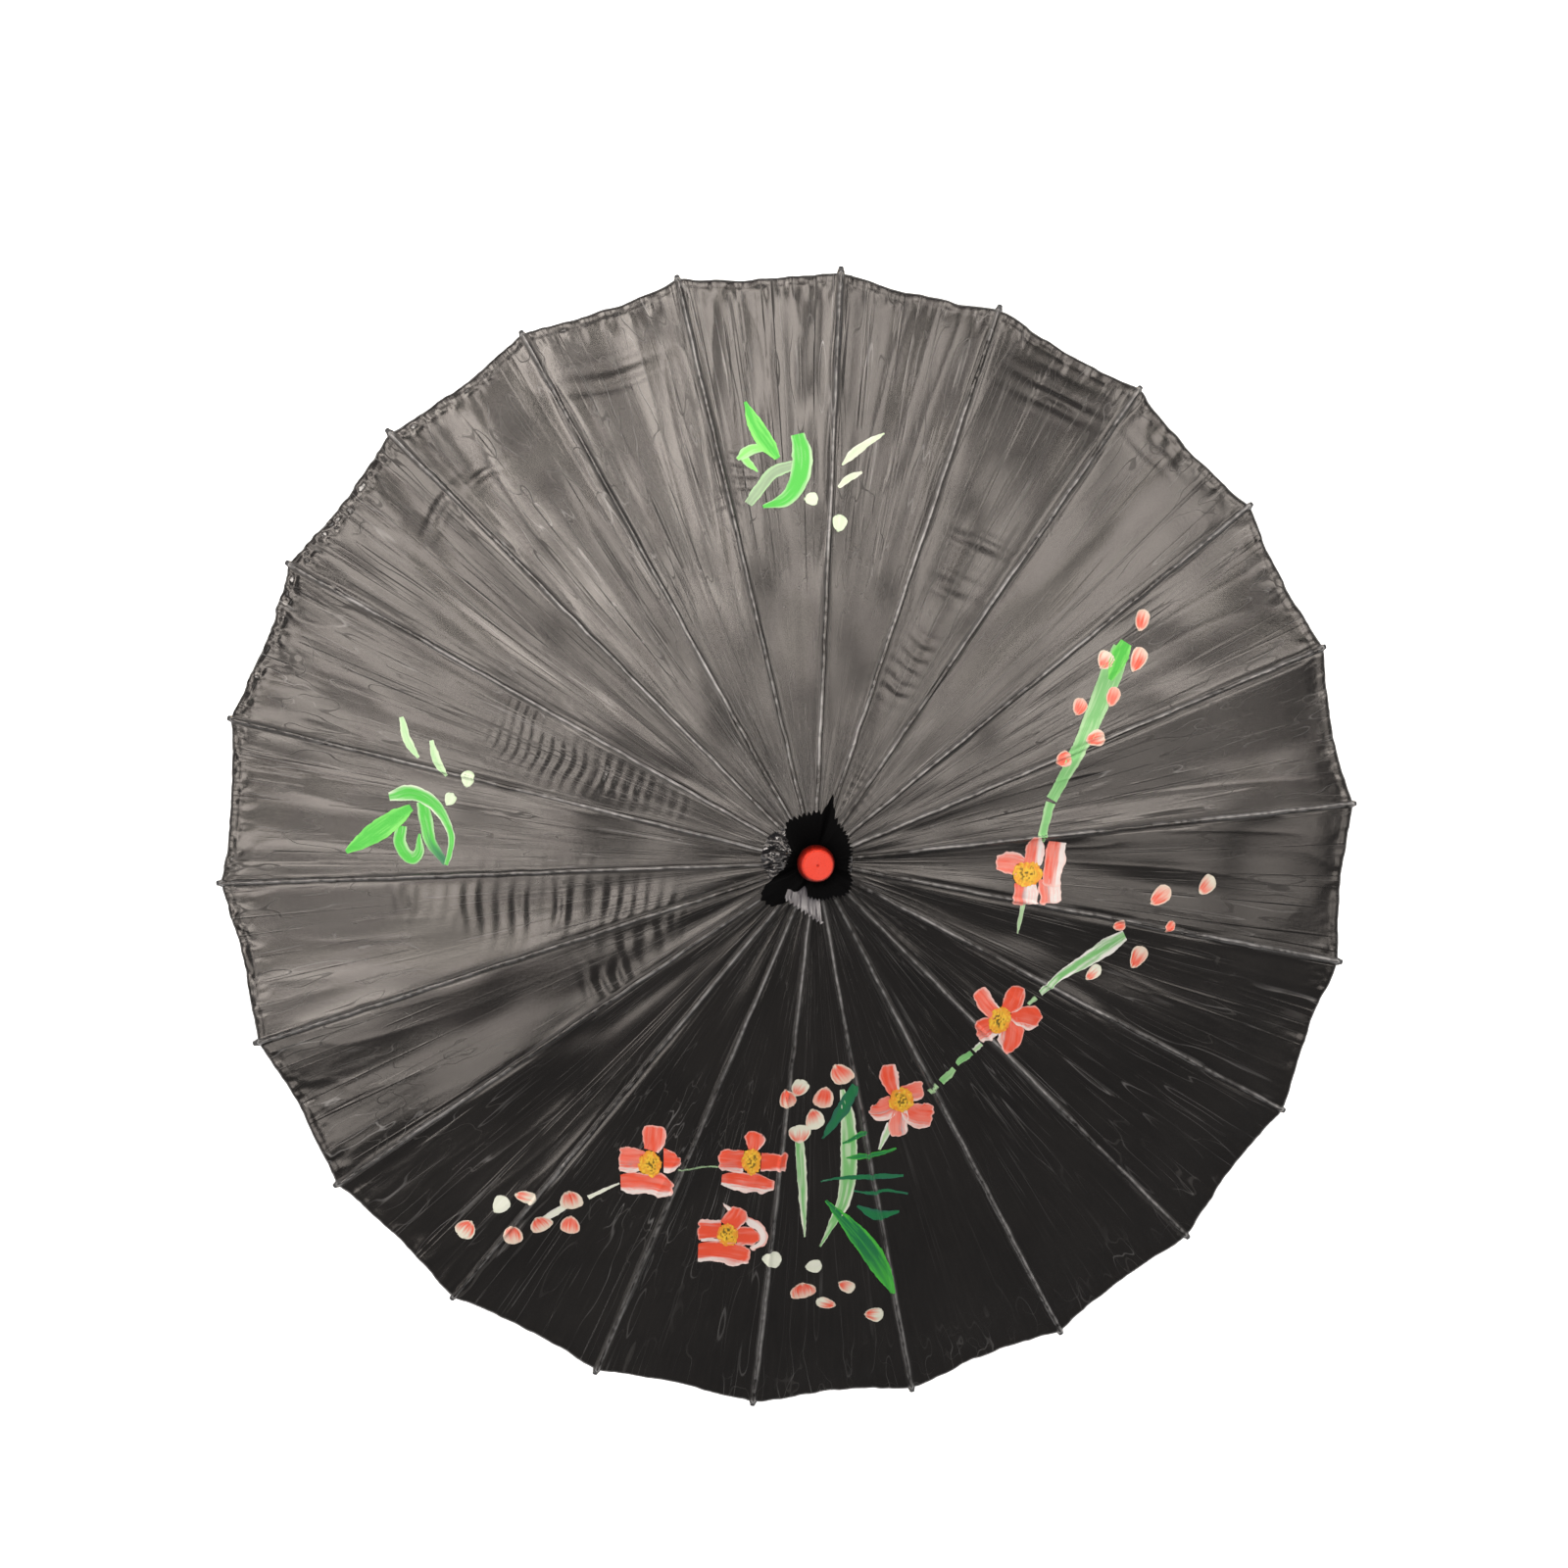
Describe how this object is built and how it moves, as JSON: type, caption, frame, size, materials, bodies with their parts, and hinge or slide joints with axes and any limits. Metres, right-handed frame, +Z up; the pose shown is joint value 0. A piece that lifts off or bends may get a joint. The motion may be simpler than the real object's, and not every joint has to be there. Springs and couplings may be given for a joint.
{
  "type": "oil paper umbrella",
  "caption": "Folding parasol with a black satin canopy painted with blossom, on a slotted bamboo frame.",
  "frame": {"origin": "centre of the grip's lower end, on the pole's axis", "axes": "+Z up the pole towards the red knob, +X through rib_01 and the latch"},
  "size_m": [0.8308, 0.8228, 0.55],
  "materials": {
    "cloth": "black satin with painted blossom",
    "collar_cloth": "black satin, pinked edge",
    "thread": "wound thread",
    "red_lacquer": "gloss lacquer",
    "hub_wood": "turned, satin",
    "pole_wood": "varnished",
    "grip_wood": "stained and varnished",
    "rib_bamboo": "split bamboo",
    "strut_bamboo": "split bamboo",
    "wire": "drawn wire",
    "latch_steel": "spring steel"
  },
  "bodies": {
    "frame": {"pole": "pole_wood", "handle_grip": "grip_wood", "top_notch": "hub_wood", "notch_wire": "wire", "notch_nail": "wire", "finial": "red_lacquer", "canopy": "cloth", "head_collar": "collar_cloth", "collar_tie": "thread", "latch_pin": "wire"},
    "latch": {"latch": "latch_steel"},
    "runner": {"runner": "hub_wood", "runner_wire": "wire"},
    "rib_01": {"rib_01": "rib_bamboo"},
    "strut_01": {"strut_01": "strut_bamboo"},
    "rib_02": {"rib_02": "rib_bamboo"},
    "strut_02": {"strut_02": "strut_bamboo"},
    "rib_03": {"rib_03": "rib_bamboo"},
    "strut_03": {"strut_03": "strut_bamboo"},
    "rib_04": {"rib_04": "rib_bamboo"},
    "strut_04": {"strut_04": "strut_bamboo"},
    "rib_05": {"rib_05": "rib_bamboo"},
    "strut_05": {"strut_05": "strut_bamboo"},
    "rib_06": {"rib_06": "rib_bamboo"},
    "strut_06": {"strut_06": "strut_bamboo"},
    "rib_07": {"rib_07": "rib_bamboo"},
    "strut_07": {"strut_07": "strut_bamboo"},
    "rib_08": {"rib_08": "rib_bamboo"},
    "strut_08": {"strut_08": "strut_bamboo"},
    "rib_09": {"rib_09": "rib_bamboo"},
    "strut_09": {"strut_09": "strut_bamboo"},
    "rib_10": {"rib_10": "rib_bamboo"},
    "strut_10": {"strut_10": "strut_bamboo"},
    "rib_11": {"rib_11": "rib_bamboo"},
    "strut_11": {"strut_11": "strut_bamboo"},
    "rib_12": {"rib_12": "rib_bamboo"},
    "strut_12": {"strut_12": "strut_bamboo"},
    "rib_13": {"rib_13": "rib_bamboo"},
    "strut_13": {"strut_13": "strut_bamboo"},
    "rib_14": {"rib_14": "rib_bamboo"},
    "strut_14": {"strut_14": "strut_bamboo"},
    "rib_15": {"rib_15": "rib_bamboo"},
    "strut_15": {"strut_15": "strut_bamboo"},
    "rib_16": {"rib_16": "rib_bamboo"},
    "strut_16": {"strut_16": "strut_bamboo"},
    "rib_17": {"rib_17": "rib_bamboo"},
    "strut_17": {"strut_17": "strut_bamboo"},
    "rib_18": {"rib_18": "rib_bamboo"},
    "strut_18": {"strut_18": "strut_bamboo"},
    "rib_19": {"rib_19": "rib_bamboo"},
    "strut_19": {"strut_19": "strut_bamboo"},
    "rib_20": {"rib_20": "rib_bamboo"},
    "strut_20": {"strut_20": "strut_bamboo"},
    "rib_21": {"rib_21": "rib_bamboo"},
    "strut_21": {"strut_21": "strut_bamboo"},
    "rib_22": {"rib_22": "rib_bamboo"},
    "strut_22": {"strut_22": "strut_bamboo"}
  },
  "joints": [
    {"name": "fold", "type": "hinge", "parent": "frame", "child": "rib_01", "pos_m": [0.015, 0, 0.515], "axis": [0, 1, 0], "range_deg": [0, 66], "deforming": ["canopy", "latch"]},
    {"name": "strut_01_fold", "type": "hinge", "parent": "rib_01", "child": "strut_01", "pos_m": [0.15408, 0, 0.45881], "axis": [0, 1, 0], "range_deg": [-132, 0]},
    {"name": "rib_02_fold", "type": "hinge", "parent": "frame", "child": "rib_02", "pos_m": [0.01439, 0.00423, 0.515], "axis": [-0.2817, 0.9595, 0], "range_deg": [0, 66]},
    {"name": "strut_02_fold", "type": "hinge", "parent": "rib_02", "child": "strut_02", "pos_m": [0.14784, 0.04341, 0.45881], "axis": [-0.2817, 0.9595, 0], "range_deg": [-132, 0]},
    {"name": "rib_03_fold", "type": "hinge", "parent": "frame", "child": "rib_03", "pos_m": [0.01262, 0.00811, 0.515], "axis": [-0.5406, 0.8413, 0], "range_deg": [0, 66]},
    {"name": "strut_03_fold", "type": "hinge", "parent": "rib_03", "child": "strut_03", "pos_m": [0.12962, 0.0833, 0.45881], "axis": [-0.5406, 0.8413, 0], "range_deg": [-132, 0]},
    {"name": "rib_04_fold", "type": "hinge", "parent": "frame", "child": "rib_04", "pos_m": [0.00982, 0.01134, 0.515], "axis": [-0.7557, 0.6549, 0], "range_deg": [0, 66]},
    {"name": "strut_04_fold", "type": "hinge", "parent": "rib_04", "child": "strut_04", "pos_m": [0.1009, 0.11644, 0.45881], "axis": [-0.7557, 0.6549, 0], "range_deg": [-132, 0]},
    {"name": "rib_05_fold", "type": "hinge", "parent": "frame", "child": "rib_05", "pos_m": [0.00623, 0.01364, 0.515], "axis": [-0.9096, 0.4154, 0], "range_deg": [0, 66]},
    {"name": "strut_05_fold", "type": "hinge", "parent": "rib_05", "child": "strut_05", "pos_m": [0.06401, 0.14015, 0.45881], "axis": [-0.9096, 0.4154, 0], "range_deg": [-132, 0]},
    {"name": "rib_06_fold", "type": "hinge", "parent": "frame", "child": "rib_06", "pos_m": [0.00214, 0.01485, 0.515], "axis": [-0.9898, 0.1423, 0], "range_deg": [0, 66]},
    {"name": "strut_06_fold", "type": "hinge", "parent": "rib_06", "child": "strut_06", "pos_m": [0.02193, 0.15251, 0.45881], "axis": [-0.9898, 0.1423, 0], "range_deg": [-132, 0]},
    {"name": "rib_07_fold", "type": "hinge", "parent": "frame", "child": "rib_07", "pos_m": [-0.00214, 0.01485, 0.515], "axis": [-0.9898, -0.1423, 0], "range_deg": [0, 66]},
    {"name": "strut_07_fold", "type": "hinge", "parent": "rib_07", "child": "strut_07", "pos_m": [-0.02193, 0.15251, 0.45881], "axis": [-0.9898, -0.1423, 0], "range_deg": [-132, 0]},
    {"name": "rib_08_fold", "type": "hinge", "parent": "frame", "child": "rib_08", "pos_m": [-0.00623, 0.01364, 0.515], "axis": [-0.9096, -0.4154, 0], "range_deg": [0, 66]},
    {"name": "strut_08_fold", "type": "hinge", "parent": "rib_08", "child": "strut_08", "pos_m": [-0.06401, 0.14015, 0.45881], "axis": [-0.9096, -0.4154, 0], "range_deg": [-132, 0]},
    {"name": "rib_09_fold", "type": "hinge", "parent": "frame", "child": "rib_09", "pos_m": [-0.00982, 0.01134, 0.515], "axis": [-0.7557, -0.6549, 0], "range_deg": [0, 66]},
    {"name": "strut_09_fold", "type": "hinge", "parent": "rib_09", "child": "strut_09", "pos_m": [-0.1009, 0.11644, 0.45881], "axis": [-0.7557, -0.6549, 0], "range_deg": [-132, 0]},
    {"name": "rib_10_fold", "type": "hinge", "parent": "frame", "child": "rib_10", "pos_m": [-0.01262, 0.00811, 0.515], "axis": [-0.5406, -0.8413, 0], "range_deg": [0, 66]},
    {"name": "strut_10_fold", "type": "hinge", "parent": "rib_10", "child": "strut_10", "pos_m": [-0.12962, 0.0833, 0.45881], "axis": [-0.5406, -0.8413, 0], "range_deg": [-132, 0]},
    {"name": "rib_11_fold", "type": "hinge", "parent": "frame", "child": "rib_11", "pos_m": [-0.01439, 0.00423, 0.515], "axis": [-0.2817, -0.9595, 0], "range_deg": [0, 66]},
    {"name": "strut_11_fold", "type": "hinge", "parent": "rib_11", "child": "strut_11", "pos_m": [-0.14784, 0.04341, 0.45881], "axis": [-0.2817, -0.9595, 0], "range_deg": [-132, 0]},
    {"name": "rib_12_fold", "type": "hinge", "parent": "frame", "child": "rib_12", "pos_m": [-0.015, 0, 0.515], "axis": [0, -1, 0], "range_deg": [0, 66]},
    {"name": "strut_12_fold", "type": "hinge", "parent": "rib_12", "child": "strut_12", "pos_m": [-0.15408, 0, 0.45881], "axis": [0, -1, 0], "range_deg": [-132, 0]},
    {"name": "rib_13_fold", "type": "hinge", "parent": "frame", "child": "rib_13", "pos_m": [-0.01439, -0.00423, 0.515], "axis": [0.2817, -0.9595, 0], "range_deg": [0, 66]},
    {"name": "strut_13_fold", "type": "hinge", "parent": "rib_13", "child": "strut_13", "pos_m": [-0.14784, -0.04341, 0.45881], "axis": [0.2817, -0.9595, 0], "range_deg": [-132, 0]},
    {"name": "rib_14_fold", "type": "hinge", "parent": "frame", "child": "rib_14", "pos_m": [-0.01262, -0.00811, 0.515], "axis": [0.5406, -0.8413, 0], "range_deg": [0, 66]},
    {"name": "strut_14_fold", "type": "hinge", "parent": "rib_14", "child": "strut_14", "pos_m": [-0.12962, -0.0833, 0.45881], "axis": [0.5406, -0.8413, 0], "range_deg": [-132, 0]},
    {"name": "rib_15_fold", "type": "hinge", "parent": "frame", "child": "rib_15", "pos_m": [-0.00982, -0.01134, 0.515], "axis": [0.7557, -0.6549, 0], "range_deg": [0, 66]},
    {"name": "strut_15_fold", "type": "hinge", "parent": "rib_15", "child": "strut_15", "pos_m": [-0.1009, -0.11644, 0.45881], "axis": [0.7557, -0.6549, 0], "range_deg": [-132, 0]},
    {"name": "rib_16_fold", "type": "hinge", "parent": "frame", "child": "rib_16", "pos_m": [-0.00623, -0.01364, 0.515], "axis": [0.9096, -0.4154, 0], "range_deg": [0, 66]},
    {"name": "strut_16_fold", "type": "hinge", "parent": "rib_16", "child": "strut_16", "pos_m": [-0.06401, -0.14015, 0.45881], "axis": [0.9096, -0.4154, 0], "range_deg": [-132, 0]},
    {"name": "rib_17_fold", "type": "hinge", "parent": "frame", "child": "rib_17", "pos_m": [-0.00214, -0.01485, 0.515], "axis": [0.9898, -0.1423, 0], "range_deg": [0, 66]},
    {"name": "strut_17_fold", "type": "hinge", "parent": "rib_17", "child": "strut_17", "pos_m": [-0.02193, -0.15251, 0.45881], "axis": [0.9898, -0.1423, 0], "range_deg": [-132, 0]},
    {"name": "rib_18_fold", "type": "hinge", "parent": "frame", "child": "rib_18", "pos_m": [0.00214, -0.01485, 0.515], "axis": [0.9898, 0.1423, 0], "range_deg": [0, 66]},
    {"name": "strut_18_fold", "type": "hinge", "parent": "rib_18", "child": "strut_18", "pos_m": [0.02193, -0.15251, 0.45881], "axis": [0.9898, 0.1423, 0], "range_deg": [-132, 0]},
    {"name": "rib_19_fold", "type": "hinge", "parent": "frame", "child": "rib_19", "pos_m": [0.00623, -0.01364, 0.515], "axis": [0.9096, 0.4154, 0], "range_deg": [0, 66]},
    {"name": "strut_19_fold", "type": "hinge", "parent": "rib_19", "child": "strut_19", "pos_m": [0.06401, -0.14015, 0.45881], "axis": [0.9096, 0.4154, 0], "range_deg": [-132, 0]},
    {"name": "rib_20_fold", "type": "hinge", "parent": "frame", "child": "rib_20", "pos_m": [0.00982, -0.01134, 0.515], "axis": [0.7557, 0.6549, 0], "range_deg": [0, 66]},
    {"name": "strut_20_fold", "type": "hinge", "parent": "rib_20", "child": "strut_20", "pos_m": [0.1009, -0.11644, 0.45881], "axis": [0.7557, 0.6549, 0], "range_deg": [-132, 0]},
    {"name": "rib_21_fold", "type": "hinge", "parent": "frame", "child": "rib_21", "pos_m": [0.01262, -0.00811, 0.515], "axis": [0.5406, 0.8413, 0], "range_deg": [0, 66]},
    {"name": "strut_21_fold", "type": "hinge", "parent": "rib_21", "child": "strut_21", "pos_m": [0.12962, -0.0833, 0.45881], "axis": [0.5406, 0.8413, 0], "range_deg": [-132, 0]},
    {"name": "rib_22_fold", "type": "hinge", "parent": "frame", "child": "rib_22", "pos_m": [0.01439, -0.00423, 0.515], "axis": [0.2817, 0.9595, 0], "range_deg": [0, 66]},
    {"name": "strut_22_fold", "type": "hinge", "parent": "rib_22", "child": "strut_22", "pos_m": [0.14784, -0.04341, 0.45881], "axis": [0.2817, 0.9595, 0], "range_deg": [-132, 0]},
    {"name": "runner_fold", "type": "hinge", "parent": "strut_01", "child": "runner", "pos_m": [0.015, 0, 0.40262], "axis": [0, 1, 0], "range_deg": [0, 66]},
    {"name": "latch_press", "type": "hinge", "parent": "frame", "child": "latch", "pos_m": [0.001, 0, 0.32932], "axis": [0, -1, 0], "range_deg": [0, 6.5], "stiffness_Nm_per_rad": 0.2, "springref_deg": -5.73}
  ],
  "couplings": [
    {"joint": "strut_01_fold", "follows": "fold", "ratio": -2},
    {"joint": "rib_02_fold", "follows": "fold", "ratio": 1},
    {"joint": "strut_02_fold", "follows": "fold", "ratio": -2},
    {"joint": "rib_03_fold", "follows": "fold", "ratio": 1},
    {"joint": "strut_03_fold", "follows": "fold", "ratio": -2},
    {"joint": "rib_04_fold", "follows": "fold", "ratio": 1},
    {"joint": "strut_04_fold", "follows": "fold", "ratio": -2},
    {"joint": "rib_05_fold", "follows": "fold", "ratio": 1},
    {"joint": "strut_05_fold", "follows": "fold", "ratio": -2},
    {"joint": "rib_06_fold", "follows": "fold", "ratio": 1},
    {"joint": "strut_06_fold", "follows": "fold", "ratio": -2},
    {"joint": "rib_07_fold", "follows": "fold", "ratio": 1},
    {"joint": "strut_07_fold", "follows": "fold", "ratio": -2},
    {"joint": "rib_08_fold", "follows": "fold", "ratio": 1},
    {"joint": "strut_08_fold", "follows": "fold", "ratio": -2},
    {"joint": "rib_09_fold", "follows": "fold", "ratio": 1},
    {"joint": "strut_09_fold", "follows": "fold", "ratio": -2},
    {"joint": "rib_10_fold", "follows": "fold", "ratio": 1},
    {"joint": "strut_10_fold", "follows": "fold", "ratio": -2},
    {"joint": "rib_11_fold", "follows": "fold", "ratio": 1},
    {"joint": "strut_11_fold", "follows": "fold", "ratio": -2},
    {"joint": "rib_12_fold", "follows": "fold", "ratio": 1},
    {"joint": "strut_12_fold", "follows": "fold", "ratio": -2},
    {"joint": "rib_13_fold", "follows": "fold", "ratio": 1},
    {"joint": "strut_13_fold", "follows": "fold", "ratio": -2},
    {"joint": "rib_14_fold", "follows": "fold", "ratio": 1},
    {"joint": "strut_14_fold", "follows": "fold", "ratio": -2},
    {"joint": "rib_15_fold", "follows": "fold", "ratio": 1},
    {"joint": "strut_15_fold", "follows": "fold", "ratio": -2},
    {"joint": "rib_16_fold", "follows": "fold", "ratio": 1},
    {"joint": "strut_16_fold", "follows": "fold", "ratio": -2},
    {"joint": "rib_17_fold", "follows": "fold", "ratio": 1},
    {"joint": "strut_17_fold", "follows": "fold", "ratio": -2},
    {"joint": "rib_18_fold", "follows": "fold", "ratio": 1},
    {"joint": "strut_18_fold", "follows": "fold", "ratio": -2},
    {"joint": "rib_19_fold", "follows": "fold", "ratio": 1},
    {"joint": "strut_19_fold", "follows": "fold", "ratio": -2},
    {"joint": "rib_20_fold", "follows": "fold", "ratio": 1},
    {"joint": "strut_20_fold", "follows": "fold", "ratio": -2},
    {"joint": "rib_21_fold", "follows": "fold", "ratio": 1},
    {"joint": "strut_21_fold", "follows": "fold", "ratio": -2},
    {"joint": "rib_22_fold", "follows": "fold", "ratio": 1},
    {"joint": "strut_22_fold", "follows": "fold", "ratio": -2},
    {"joint": "runner_fold", "follows": "fold", "ratio": 1}
  ]
}
